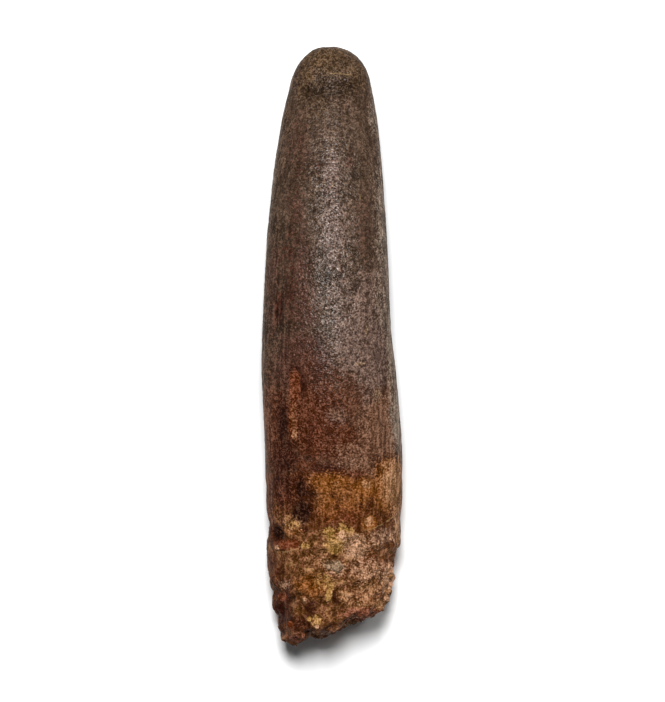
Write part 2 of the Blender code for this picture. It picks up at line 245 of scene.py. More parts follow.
# Larger grains and nubs, one by one: (x, y, half width, half length, turn in degrees, tint, stain)
LONE_GRAINS = (
    (-0.2, -16.6, 0.26, 0.45, -8, 0.3, "straw"), (0.33, -14.7, 0.4, 0.36, 20, 0.3, "chalk"),
    (-0.25, -14.75, 0.2, 0.2, 0, 0.0, "chalk"), (-1.5, -18.2, 0.2, 0.2, 30, 0.5, "straw"),
    (-1.07, -18.1, 0.14, 0.2, 0, 0.5, "straw"), (-1.0, -18.7, 0.16, 0.14, 40, 0.6, "blush"),
    (-2.75, -18.55, 0.26, 0.26, 0, 0.2, "ember"), (-1.8, -16.9, 0.14, 0.18, 10, 0.3, "blush"),
    (-3.6, -13.45, 0.2, 0.17, 0, 0.3, "blush"), (3.8, -15.05, 0.3, 0.17, 0, 0.1, "blush"),
    (3.8, -15.4, 0.3, 0.16, 10, -0.2, "honey"), (3.78, -15.95, 0.28, 0.19, -10, 0.2, "blush"),
    (3.7, -16.4, 0.3, 0.19, 0, -0.2, "honey"), (3.55, -16.85, 0.3, 0.2, -20, 0.1, "blush"),
)

# Noise over the surface: (size in millimetres, seed, how far it is drawn out along the tooth)
EDGE_WAVER = (1.6, 4.0)
SWELLS = (1.1, 9.0, 2.5)
FIBRES = (0.3, 13.0, 9.0)
ROUGH_SAND = (0.4, 19.0)
FINE_SAND = (0.22, 23.0)
FLAKE_JITTER = (0.3, 31.0)

# The same without the size, which the settings give, and the cells of beads and of lumps of sand
WRINKLES = (1.0, 1.5)
BEAD_SEED = 5.0
SAND_LUMPS = (0.8, 17.0)

# Stains where they aren't seen from above: size, seed of the first, and stretch
HIDDEN_SIZE, HIDDEN_SEED, HIDDEN_STRETCH = 2.4, 20.0, 1.6

# Noise in the minerals: (size in millimetres, detail, distortion). Real grit and dirt are silt finer than
# 0.06 mm, too fine to show, so grit is drawn at 0.12 mm
PATTERNS = {
    "clouds": (1.8, 4.0, 0.0),
    "streaks": (0.22, 4.0, 0.0),
    "grit": (0.12, 0.0, 0.0),
    "frays": (0.45, 6.0, 0.0),
    "curls": (0.26, 0.0, 0.9),
    "wrinkles": (0.36, 1.5, 0.6),
    "sand": (0.6, 3.0, 0.0),
}

# The streaks' scale along the tooth, which draws them out, and how steep the crests of curls and wrinkles are
STREAK_SCALE, FOLD = 0.12, 9.0

# How much grit is in a stain's frayed edge, and the sum of noise and mask where the stain starts and is full
FRAY_GRIT, SOAK_START, SOAK_FULL = 0.8, 1.05, 1.75

# The shade at which a crest is full, then what it does from hollows to crests, painted shade in the hollows
# and
# painted highlight on the crests: brightness, with its curve, and saturation
SHADE_REACH = 1.8
DARKEST, PALEST, SHADE_CURVE = 0.55, 2.8, 1.7
HOLLOW_SATURATION, CREST_SATURATION = 1.08, 0.88

# The shade above which dust and a painted sheen lie on the crests, and how much of them there is on the
# palest
DUST_AND_SHEEN_START, MOST_DUST_AND_SHEEN = 0.6, 0.12

# Height of the grit's relief, how high the wrinkles are beside it, and how much of both the gloss follows
FINE_RELIEF, WRINKLE_SHARE, GLOSS_RELIEF = 0.05 * MM, 0.5, 0.7

# How strong the gloss is where the enamel is most polished
MOST_GLOSS = 0.9

# Half the floor's width, and how far it lies under the tooth, so that the two don't touch
FLOOR_REACH, FLOOR_DROP = 1.5, 0.01 * MM

# How far away the softboxes are
LIGHT_DISTANCE = 0.6

# What the camera stands over, at the height where the view height is measured, and its sensor in millimetres
CAMERA_AIM = (0.03 * MM, -0.37 * MM, 3 * MM)
SENSOR_WIDTH = 36


def srgb(code):
    """A colour as the linear values that shaders work in, from its sRGB hex code."""
    values = [int(code[i : i + 2], 16) / 255 for i in (1, 3, 5)]
    return [v / 12.92 if v <= 0.04045 else ((v + 0.055) / 1.055) ** 2.4 for v in values] + [1.0]


def colour_setting(name, description, default):
    """A colour that a user can change."""
    return bpy.props.FloatVectorProperty(
        name=name, description=description, default=default, size=4, min=0, max=1, subtype="COLOR"
    )


class FossilSkinSettings(bpy.types.PropertyGroup):
    """Sizes of the tooth's fine relief, and its colours under the stains."""

    refinement: bpy.props.IntProperty(
        name="Refinement", description="How often each face is divided in four", default=2, min=0, max=2
    )
    wrinkle_size: bpy.props.FloatProperty(
        name="Wrinkle Size", description="Distance between enamel wrinkles", default=0.34 * MM, unit="LENGTH"
    )
    wrinkle_height: bpy.props.FloatProperty(
        name="Wrinkle Height", description="Height of the enamel wrinkles", default=0.02 * MM, unit="LENGTH"
    )
    bead_size: bpy.props.FloatProperty(
        name="Bead Size", description="Width of the beads between wrinkles", default=0.36 * MM, unit="LENGTH"
    )
    bead_height: bpy.props.FloatProperty(
        name="Bead Height", description="Height of the small beads", default=0.02 * MM, unit="LENGTH"
    )
    fibre_height: bpy.props.FloatProperty(
        name="Fibre Height", description="Height of the lengthwise fibres", default=0.02 * MM, unit="LENGTH"
    )
    flake_depth: bpy.props.FloatProperty(
        name="Flake Depth", description="Depth where enamel flaked off", default=0.1 * MM, unit="LENGTH"
    )
    hole_depth: bpy.props.FloatProperty(
        name="Hole Depth", description="Depth of the single holes", default=0.09 * MM, unit="LENGTH"
    )
    lump_height: bpy.props.FloatProperty(
        name="Lump Height", description="Height of the lumps of sand", default=0.13 * MM, unit="LENGTH"
    )
    dark_enamel: colour_setting("Dark Enamel", "Enamel where it is darkest", srgb("#34261B"))
    pale_enamel: colour_setting("Pale Enamel", "Enamel where it is palest", srgb("#433226"))
    lower_enamel: colour_setting("Lower Enamel", "Enamel near the root", srgb("#4A2C1C"))
    side_enamel_and_rim_light: colour_setting("Side Enamel And Rim Light", "Worn enamel and painted rim light on the sides", srgb("#63554A"))
    dark_root: colour_setting("Dark Root", "The root's darker streaks", srgb("#3C1A08"))
    pale_root: colour_setting("Pale Root", "The root's paler streaks", srgb("#54300F"))
    bared_dentine: colour_setting("Bared Dentine", "Where enamel flaked off", srgb("#522711"))
    sand_cement: colour_setting("Sand Cement", "Dark cement between the sand", srgb("#3A1B09"))
    yellow_sand: colour_setting("Yellow Sand", "The yellower sand", srgb("#543416"))
    red_sand: colour_setting("Red Sand", "The redder sand", srgb("#56311A"))
    pale_sand: colour_setting("Pale Sand", "The palest sand", srgb("#6E4B27"))
    dust_and_sheen: colour_setting("Dust And Sheen", "Dust and painted sheen on the crests", srgb("#8C6A4C"))
    crack: colour_setting("Cracks", "Dirt in the cracks", srgb("#2A110B"))
    vein: colour_setting("Veins", "Mineral in the veins", srgb("#A08358"))


class SandGrainSettings(bpy.types.PropertyGroup):
    """Sizes of the sand grains that stand out of the crust."""

    spacing: bpy.props.FloatProperty(
        name="Spacing", description="Least distance between two grains", default=0.3 * MM, unit="LENGTH"
    )
    width: bpy.props.FloatProperty(
        name="Width", description="Usual width of a grain", default=0.22 * MM, unit="LENGTH"
    )
    depth: bpy.props.FloatProperty(
        name="Depth", description="How deep the middle of a grain is sunk", default=0.06 * MM, unit="LENGTH"
    )
    seed: bpy.props.IntProperty(name="Seed", description="Start of the random draws", default=7, min=0)


class LoneGrainSettings(bpy.types.PropertyGroup):
    """Shape of the single larger grains."""

    roughness: bpy.props.FloatProperty(
        name="Roughness", description="How uneven a grain is, as a share of its size", default=0.2, min=0
    )
    sunk: bpy.props.FloatProperty(
        name="Sunk", description="How deep a grain's middle lies, as a share of its height", default=0.2
    )


class FossilStageSettings(bpy.types.PropertyGroup):
    """Floor, lights and camera."""

    view_height: bpy.props.FloatProperty(
        name="View Height", description="Height of what the camera sees", default=46.8 * MM, unit="LENGTH"
    )
    camera_distance: bpy.props.FloatProperty(
        name="Camera Distance", description="How high up the camera is", default=0.9, unit="LENGTH"
    )
    key_power: bpy.props.FloatProperty(
        name="Key Power", description="Power of the soft light beyond the tip, in watts", default=4.9, min=0
    )
    side_power: bpy.props.FloatProperty(
        name="Side Power", description="Power of the broad light on the right, in watts", default=0.6, min=0
    )
    sky_strength: bpy.props.FloatProperty(
        name="Sky Strength", description="Brightness of the even light from all round", default=0.08, min=0
    )
    sky_colour: colour_setting("Sky Colour", "Colour of the even light", (0.88, 0.97, 1, 1))
    floor_colour: colour_setting("Floor Colour", "Colour of the floor", srgb("#F8F8F8"))


def soft_step(low, high, value):
    """0 below low, 1 above high, and a smooth rise between them."""
    t = np.clip((value - low) / (high - low), 0, 1)
    return t * t * (3 - 2 * t)


def noise_field(points, size, seed, stretch=1.0):
    """Smooth noise from about -1 to 1 at each point. stretch draws it out along the tooth."""
    places = points / (size, size * stretch, size) + (seed, 2 * seed, -seed)
    return np.array([noise.noise(place) for place in places.tolist()])


def cell_field(points, size, seed):
    """How far each point is from the joint between two cells, 0 in the joint, and its cell's own value."""
    gaps, values = [], []
    for place in (points / size + seed).tolist():
        distances, centres = noise.voronoi(place)
        gaps.append(distances[1] - distances[0])
        # Close centres have to be pulled apart, or they share a value
        values.append(noise.cell(centres[0] * 7.3))
    return np.array(gaps), np.array(values)


def edge_field(points, path):
    """How far each point lies on the tip's side of an edge that crosses the tooth."""
    xs, ys = zip(*path)
    return points[:, 1] - np.interp(points[:, 0], xs, ys)


def line_fields(points, paths):
    """The signed distance from each point to the nearest path, and its strength, which fades at its ends."""
    offset = np.full(len(points), FAR_AWAY)
    strength = np.zeros(len(points))
    flat = points[:, :2]
    for path in paths:
        starts, ends = np.array(path[:-1]), np.array(path[1:])
        lengths = np.linalg.norm(ends - starts, axis=1)
        total, gone = lengths.sum(), 0.0
        for start, end, length in zip(starts, ends, lengths):
            way = (end - start) / length
            away = flat - start
            run = np.clip(away @ way, 0, length)
            distance = np.linalg.norm(away - run[:, None] * way, axis=1)
            side = np.sign(away @ np.array((-way[1], way[0])))
            closer = distance < np.abs(offset)
            offset = np.where(closer, side * distance, offset)
            share = (gone + run) / total
            fade = soft_step(0, 0.15, share) * (1 - soft_step(0.85, 1, share))
            near = 1 - soft_step(LINE_REACH / 2, LINE_REACH, distance)
            strength = np.where(closer, fade * near, strength)
            gone += length
    return offset, strength


def ovals(points, places, edge=1.3):
    """The greatest of several soft ovals at each point. An oval fades out at edge times its own size."""
    mask = np.zeros(len(points))
    for x, y, half_width, half_length, strength in places:
        away = np.hypot((points[:, 0] - x) / half_width, (points[:, 1] - y) / half_length)
        mask = np.maximum(mask, strength * (1 - soft_step(0.3, edge, away)))
    return mask


def add_node(tree, kind, inputs=(), **settings):
    """Adds a node with its settings, and sets or links its inputs."""
    made = tree.nodes.new(kind)
    for name, value in settings.items():
        setattr(made, name, value)
    for key, value in dict(inputs).items():
        if isinstance(value, bpy.types.NodeSocket):
            tree.links.new(value, made.inputs[key])
        else:
            made.inputs[key].default_value = value
    return made


def empty_material(name):
    """A new material with nothing but its output node."""
    material = bpy.data.materials.new(name)
    material.use_nodes = True
    material.node_tree.nodes.clear()
    return material, add_node(material.node_tree, "ShaderNodeOutputMaterial")


# Sockets of the Mix node for colours
MIX_A, MIX_B, MIX_OUT = 6, 7, 2


def mineral_noises(tree):
    """The noise in the minerals by name. Streaks run along the tooth. Curls and wrinkles are 0 on crests."""
    place = add_node(tree, "ShaderNodeTexCoord").outputs["Object"]
    along = add_node(tree, "ShaderNodeMapping", {"Vector": place, "Scale": (1, STREAK_SCALE, 1)})
    noises = {}
    for name, (size, detail, distortion) in PATTERNS.items():
        given = {"Scale": 1 / (size * MM), "Detail": detail, "Distortion": distortion}
        given["Vector"] = along.outputs["Vector"] if name == "streaks" else place
        noises[name] = add_node(tree, "ShaderNodeTexNoise", given).outputs["Fac"]
    for name in ("curls", "wrinkles"):
        steep = add_node(
            tree, "ShaderNodeMath", {0: noises[name], 1: FOLD, 2: -FOLD / 2}, operation="MULTIPLY_ADD"
        )
        away = add_node(tree, "ShaderNodeMath", {0: steep.outputs[0]}, operation="ABSOLUTE")
        capped = add_node(tree, "ShaderNodeMath", {0: away.outputs[0], 1: 1.0}, operation="MINIMUM")
        noises[name] = capped.outputs[0]
    return noises


def soaked_masks(tree, masks, noises):
    """The masks of root, crust and stains, frayed by noise, so that they look soaked in grain by grain."""
    both = {0: noises["grit"], 1: FRAY_GRIT, 2: noises["frays"]}
    ragged = add_node(tree, "ShaderNodeMath", both, operation="MULTIPLY_ADD").outputs[0]
    soaked = {}
    for name in ("root", "crust", *STAINS):
        mask = masks[name]
        shifted = add_node(tree, "ShaderNodeMath", {0: ragged, 1: mask}, operation="ADD")
        full = add_node(
            tree,
            "ShaderNodeMapRange",
            {"Value": shifted.outputs[0], "From Min": SOAK_START, "From Max": SOAK_FULL},
            interpolation_type="SMOOTHSTEP",
        )
        within = add_node(tree, "ShaderNodeMath", {0: mask, 1: 4.0}, operation="MULTIPLY", use_clamp=True)
        inputs = {0: full.outputs[0], 1: within.outputs[0]}
        soaked[name] = add_node(tree, "ShaderNodeMath", inputs, operation="MULTIPLY").outputs[0]
    return soaked


def mineral_colours(tree, noises, skin):
    """The colours of enamel, dentine and sandstone under the stains, each a ramp along its own noise."""
    colours = []
    sand = ((0.32, skin.sand_cement), (0.46, skin.yellow_sand), (0.54, skin.red_sand), (0.7, skin.pale_sand))
    for name, stops in (
        ("clouds", ((0.38, skin.dark_enamel), (0.62, skin.pale_enamel))),
        ("streaks", ((0.3, skin.dark_root), (0.7, skin.pale_root))),
        ("sand", sand),
    ):
        layer = add_node(tree, "ShaderNodeValToRGB", {"Fac": noises[name]})
        ramp = layer.color_ramp.elements
        for position, _ in stops[1:-1]:
            ramp.new(position)
        for stop, (position, colour) in zip(ramp, stops):
            stop.position, stop.color = position, colour
        colours.append(layer.outputs["Color"])
    return colours


def grain_and_painted_shade(tree, masks, noises):
    """How pale the surface is, from 0 in hollows to 1 on crests: the minerals' grain, with painted shade in
    the hollows and a painted highlight on the crests.
    """
    shade = add_node(tree, "ShaderNodeMath", {0: masks["crest"], 1: 0.6}, operation="MULTIPLY").outputs[0]
    # Each pattern's weight, what brings its middle near zero, and where it shows
    for pattern, weight, offset, where in (
        (noises["wrinkles"], -1.2, 0.85, masks["pebbly"]),
        (noises["curls"], -1.9, 1.28, masks["pebbly"]),
        (noises["grit"], 4.0, -2.0, masks["pebbly"]),
        (noises["frays"], 2.4, -1.2, masks["pebbly"]),
        (noises["streaks"], 4.0, -2.0, masks["fibrous"]),
        (noises["sand"], 5.0, -2.5, masks["crust"]),
        (masks["tint"], 0.6, 0.0, 1.0),
    ):
        inputs = {0: pattern, 1: weight, 2: offset}
        weighed = add_node(tree, "ShaderNodeMath", inputs, operation="MULTIPLY_ADD").outputs[0]
        inputs = {0: weighed, 1: where, 2: shade}
        shade = add_node(tree, "ShaderNodeMath", inputs, operation="MULTIPLY_ADD").outputs[0]
    inputs = {"Value": shade, "From Min": -SHADE_REACH, "From Max": SHADE_REACH}
    return add_node(tree, "ShaderNodeMapRange", inputs).outputs[0]


def colour_with_lines(tree, colour, masks, frays, skin):
    """The colour with dark cracks and pale veins drawn over it. Noise bends them and breaks them up."""
    for name, (width, strength, gap) in LINES.items():
        inputs = {0: frays, 1: LINE_WAVER, 2: masks[name + "_offset"]}
        wavy = add_node(tree, "ShaderNodeMath", inputs, operation="MULTIPLY_ADD").outputs[0]
        away = add_node(tree, "ShaderNodeMath", {0: wavy, 1: LINE_WAVER / 2}, operation="SUBTRACT")
        size = add_node(tree, "ShaderNodeMath", {0: away.outputs[0]}, operation="ABSOLUTE")
        line = add_node(
            tree,
            "ShaderNodeMapRange",
            {"Value": size.outputs[0], "From Min": width, "From Max": width * 0.3, "To Max": strength},
            interpolation_type="SMOOTHSTEP",
        )
        inputs = {"Value": frays, "From Min": gap, "From Max": gap + GAP_EDGE}
        broken = add_node(tree, "ShaderNodeMapRange", inputs)
        factor = line.outputs[0]
        for share in (masks[name + "_strength"], broken.outputs[0]):
            factor = add_node(tree, "ShaderNodeMath", {0: factor, 1: share}, operation="MULTIPLY").outputs[0]
        inputs = {0: factor, MIX_A: colour, MIX_B: getattr(skin, name)}
        colour = add_node(tree, "ShaderNodeMix", inputs, data_type="RGBA").outputs[MIX_OUT]
    return colour


def fossil_material(skin):
    """Phosphate enamel and dentine turned to stone: brown, with a dull gloss and a painted highlight on the
    wrinkles, and painted shade between them.

    Iron has stained the root from gold to dark red, and its lower end is sandstone, rough and grainy.
    """
    material, output = empty_material("mineralised_enamel_and_dentine")
    tree = material.node_tree
    noises = mineral_noises(tree)
    masks = {}
    lines = [f"{line}_{part}" for line in LINES for part in ("offset", "strength")]
    surfaces = ["root", "crust", "crest", "flank_and_rim_light", "polish", "pebbly", "fibrous", "flake", "warm", "tint"]
    for name in (*surfaces, *lines, *STAINS):
        masks[name] = add_node(tree, "ShaderNodeAttribute", attribute_name=name).outputs["Fac"]
    soaked = soaked_masks(tree, masks, noises)

    colour, dentine, sandstone = mineral_colours(tree, noises, skin)
    # The sides' tint is partly painted rim light
    tints = [(masks["warm"], skin.lower_enamel), (masks["flank_and_rim_light"], skin.side_enamel_and_rim_light)]
    tints += [(soaked["root"], dentine), (soaked["crust"], sandstone)]
    tints += [(soaked[name], srgb(code)) for name, (code, _) in STAINS.items()]
    tints += [(masks["flake"], skin.bared_dentine)]
    for factor, layer in tints:
        inputs = {0: factor, MIX_A: colour, MIX_B: layer}
        colour = add_node(tree, "ShaderNodeMix", inputs, data_type="RGBA").outputs[MIX_OUT]

    share = grain_and_painted_shade(tree, masks, noises)
    inputs = {"Value": share, "To Min": HOLLOW_SATURATION, "To Max": CREST_SATURATION}
    saturation = add_node(tree, "ShaderNodeMapRange", inputs).outputs[0]
    curved = add_node(tree, "ShaderNodeMath", {0: share, 1: SHADE_CURVE}, operation="POWER").outputs[0]
    inputs = {"Value": curved, "To Min": DARKEST, "To Max": PALEST}
    value = add_node(tree, "ShaderNodeMapRange", inputs).outputs[0]
    inputs = {"Color": colour, "Saturation": saturation, "Value": value}
    shaded = add_node(tree, "ShaderNodeHueSaturation", inputs).outputs[0]
    # Pale dust on the palest crests, partly a painted sheen
    inputs = {"Value": share, "From Min": DUST_AND_SHEEN_START, "From Max": 1.0, "To Max": MOST_DUST_AND_SHEEN}
    dust_and_sheen = add_node(tree, "ShaderNodeMapRange", inputs).outputs[0]
    inputs = {0: dust_and_sheen, MIX_A: shaded, MIX_B: skin.dust_and_sheen}
    with_dust_and_sheen = add_node(tree, "ShaderNodeMix", inputs, data_type="RGBA").outputs[MIX_OUT]
    colour = colour_with_lines(tree, with_dust_and_sheen, masks, noises["frays"], skin)

    inputs = {0: noises["wrinkles"], 1: -WRINKLE_SHARE, 2: noises["grit"]}
    height = add_node(tree, "ShaderNodeMath", inputs, operation="MULTIPLY_ADD")
    relief = {"Distance": FINE_RELIEF, "Height": height.outputs[0]}
    bump = add_node(tree, "ShaderNodeBump", {"Strength": 1.0, **relief})
    dull = add_node(tree, "ShaderNodeBump", {"Strength": GLOSS_RELIEF, **relief})
    gloss = add_node(tree, "ShaderNodeMath", {0: share, 1: masks["polish"]}, operation="MULTIPLY")
    gloss = add_node(tree, "ShaderNodeMath", {0: gloss.outputs[0], 1: MOST_GLOSS}, operation="MULTIPLY")
    shader = add_node(
        tree,
        "ShaderNodeBsdfPrincipled",
        {
            "Base Color": colour,
            "Roughness": 0.6,
            "IOR": 1.5,
            "Specular IOR Level": 0.03,
            "Coat Weight": gloss.outputs[0],
            "Coat Roughness": 0.3,
            "Coat IOR": 1.4,
            "Coat Normal": dull.outputs["Normal"],
            "Normal": bump.outputs["Normal"],
        },
    )
    tree.links.new(shader.outputs[0], output.inputs["Surface"])
    return material


def board_material(colour):
    """Board with a matt white coat: even and bright, with no highlight."""
    material, output = empty_material("matt_white_board")
    tree = material.node_tree
    shader = add_node(tree, "ShaderNodeBsdfPrincipled", {"Base Color": colour, "Roughness": 0.9})
    tree.links.new(shader.outputs[0], output.inputs["Surface"])
    return material


def point_values(mesh, name):
    """Where a mesh's points are, or which way they face, as an array."""
    values = np.empty(len(mesh.vertices) * 3)
    mesh.vertices.foreach_get(name, values)
    return values.reshape(-1, 3)


def set_places(mesh, places):
    """Moves a mesh's points, and lifts to the floor what would reach below it."""
    places[:, 2] = np.maximum(places[:, 2], 0)
    mesh.vertices.foreach_set("co", places.ravel())
    mesh.update()


def plain_mesh(piece):
    """The mesh that a piece's modifiers make."""
    return bpy.data.meshes.new_from_object(piece.evaluated_get(bpy.context.evaluated_depsgraph_get()))


def refined_solid(levels):
    """The CAD tooth as one mesh of quads, each divided in four that many times. Its corners stay in place."""
    bm = bmesh.new()
    bm.from_mesh(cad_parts["tooth"].data)
    bmesh.ops.remove_doubles(bm, verts=bm.verts, dist=1e-7)
    bmesh.ops.join_triangles(
        bm, faces=bm.faces, angle_face_threshold=math.radians(60), angle_shape_threshold=math.radians(180)
    )
    bmesh.ops.recalc_face_normals(bm, faces=bm.faces)
    cage = bpy.data.meshes.new("tooth_cage")
    bm.to_mesh(cage)
    bm.free()
    piece = bpy.data.objects.new("tooth_skin", cage)
    bpy.context.scene.collection.objects.link(piece)
    division = piece.modifiers.new("refine", "SUBSURF")
    division.levels = division.render_levels = levels
    wanted = point_values(cage, "co")
    moved = wanted.copy()
    for _ in range(SETTLING_ROUNDS):
        moved += wanted - point_values(plain_mesh(piece), "co")[: len(wanted)]
        cage.vertices.foreach_set("co", moved.ravel())
        cage.update()
    refined = plain_mesh(piece)
    piece.modifiers.clear()
    piece.data = refined
    return piece


def skin_masks(points, normals):
    """How strong each mineral, stain and kind of surface is at each point, and where the lines run."""
    x, y, up = points[:, 0], points[:, 1], normals[:, 2]
    upper = soft_step(-0.15, 0.35, up)
    waver = (1 - upper) * noise_field(points, *EDGE_WAVER)
    # Faces turned sideways get a paler tint, partly worn enamel and partly painted rim light, and also softer
    # wrinkles and more fibres
    masks = {"flank_and_rim_light": 0.7 * (1 - soft_step(0.1, 0.45, up)) * soft_step(-0.6, 0.0, up)}

    # The enamel's edge is softer on the right, and both edges waver where they aren't seen from above
    blur = 1 + 2 * soft_step(2, 4, x)
    masks["root"] = 1 - soft_step(-0.35, 0.35, edge_field(points, ENAMEL_EDGE) / blur + 0.5 * waver)
    masks["crust"] = 1 - soft_step(-0.2, 0.2, edge_field(points, CRUST_EDGE) + 0.7 * waver)
    for k, (name, (_, places)) in enumerate(STAINS.items()):
        hidden = noise_field(points, HIDDEN_SIZE, HIDDEN_SEED + k, HIDDEN_STRETCH)
        below = 0.7 * soft_step(0.1, 0.5, hidden) * masks["root"]
        masks[name] = ovals(points, places) * upper + below * (1 - upper)

    # The middle of the crown is polished most, less so at the tip, near the root and towards the sides
    masks["polish"] = soft_step(0.5, 0.95, up) * (0.2 + 0.8 * soft_step(-5, 2, y))
    masks["polish"] *= 1 - 0.6 * soft_step(12, 16, y)
    masks["polish"] *= 1 - 0.6 * soft_step(0.7, 2.2, np.abs(x - 0.2))
    masks["polish"] *= 1 - 0.7 * masks["root"]
    masks["pebbly"] = 0.7 + 0.3 * ovals(points, PEBBLY_PLACES) + 0.2 * masks["crust"]
    masks["flake"] = flaked(points) * upper
    masks["bare"] = ovals(points, BARE_PLACES)
    masks["warm"] = 0.7 * (1 - soft_step(-6, 2, y))
    sides = soft_step(2.0, 3.8, np.abs(x))
    masks["fibrous"] = 0.6 + 1.2 * sides + 1.2 * masks["flank_and_rim_light"] + 0.4 * masks["root"]
    masks["fibrous"] *= 1 - 0.6 * masks["crust"]
    for name, paths in (("crack", CRACKS), ("vein", VEINS)):
        masks[name + "_offset"], strength = line_fields(points, paths)
        masks[name + "_strength"] = strength * upper
    return masks


def flaked(points):
    """How much of the enamel flaked off at each point."""
    gone = np.zeros(len(points))
    jitter = 0.04 * noise_field(points, *FLAKE_JITTER)
    x, y = points[:, 0] + jitter, points[:, 1] + jitter
    for left, right, low, high, share in FLAKES:
        inside = soft_step(left, left + 0.1, x) * (1 - soft_step(right - 0.1, right, x))
        inside *= soft_step(low, low + 0.3, y) * (1 - soft_step(high - 0.1, high, y))
        gone = np.maximum(gone, share * inside)
    return gone


def skin_relief(points, normals, masks, skin):
    """How far the fine surface stands out of the solid's in millimetres, and how high or sunk it is, which
    the material paints as painted highlight on crests and painted shade in hollows.
    """
    upper = soft_step(0.0, 0.3, normals[:, 2])
    smooth = 1 - 0.6 * masks["flank_and_rim_light"]
    ridged = 1 - 2 * np.abs(1.6 * noise_field(points, skin.wrinkle_size / MM, *WRINKLES))
    beads, _ = cell_field(points, skin.bead_size / MM, BEAD_SEED)
    beads = soft_step(0, 0.7, beads) - 0.5
    swells = noise_field(points, *SWELLS)
    fibres = noise_field(points, *FIBRES)
    enamel = smooth * (skin.wrinkle_height * ridged + skin.bead_height * beads) / MM + 0.03 * swells
    enamel += (0.4 + masks["flank_and_rim_light"]) * skin.fibre_height / MM * fibres
    dentine = skin.fibre_height / MM * 2 * fibres + 0.35 * skin.wrinkle_height / MM * ridged
    lumps, values = cell_field(points, *SAND_LUMPS)
    rough = noise_field(points, *ROUGH_SAND)
    fine = noise_field(points, *FINE_SAND)
    sand = 0.7 * soft_step(0, 0.6, lumps) + 0.3 * values + 0.9 * rough + 0.5 * fine - 0.4
    sand *= skin.lump_height / MM
    root, crust = masks["root"], masks["crust"]
    relief = enamel + root * (dentine - enamel)
    relief += crust * ((1 - 0.6 * masks["bare"]) * sand - relief)
    holes = ovals(points, HOLES, 1.2) * upper
    relief -= (skin.hole_depth * holes + skin.flake_depth * masks["flake"]) / MM
    # Crests are painted paler and hollows darker: painted highlight and painted shade that follow the relief
    crest = 0.45 * ridged + 0.5 * beads + 0.35 * swells
    crest += root * (0.8 * fibres - crest)
    crest += crust * (0.6 * (lumps - 0.3) + 0.7 * rough + 0.5 * fine - crest)
    # Holes are painted dark as well: painted shade in them
    return relief, np.clip(crest, -1, 1) - 3 * holes


def dress(mesh, masks):
    """Stores the masks on the mesh's points, for its material."""
    for name, values in masks.items():
        layer = mesh.attributes.new(name, "FLOAT", "POINT")
        layer.data.foreach_set("value", np.asarray(values, np.float32))


class FOSSIL_OT_skin(bpy.types.Operator):
    """Makes the tooth's finished surface: wrinkled enamel, fibrous root and lumpy sandstone"""

    bl_idname = "fossil.skin"
    bl_label = "Tooth Skin"

    def execute(self, context):
        skin = context.scene.fossil_skin
        piece = refined_solid(skin.refinement)
        mesh = piece.data
        points, normals = point_values(mesh, "co") / MM, point_values(mesh, "normal")
        masks = skin_masks(points, normals)
        relief, masks["crest"] = skin_relief(points, normals, masks, skin)
        masks["tint"] = np.zeros(len(points))
        masks["cover"] = masks["crust"] * soft_step(0.3, 0.8, points[:, 2]) * (1 - masks["bare"])
        points = points + normals * relief[:, None]
        ys, shifts = zip(*LEFT_SHIFTS)
        points[:, 0] += np.interp(points[:, 1], ys, shifts) * np.maximum(-normals[:, 0], 0)
        set_places(mesh, points * MM)
        mesh.shade_smooth()
        dress(mesh, masks)
        mesh.materials.clear()
        mesh.materials.append(fossil_material(skin))
        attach(piece, "root")
        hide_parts("tooth")
        return {"FINISHED"}


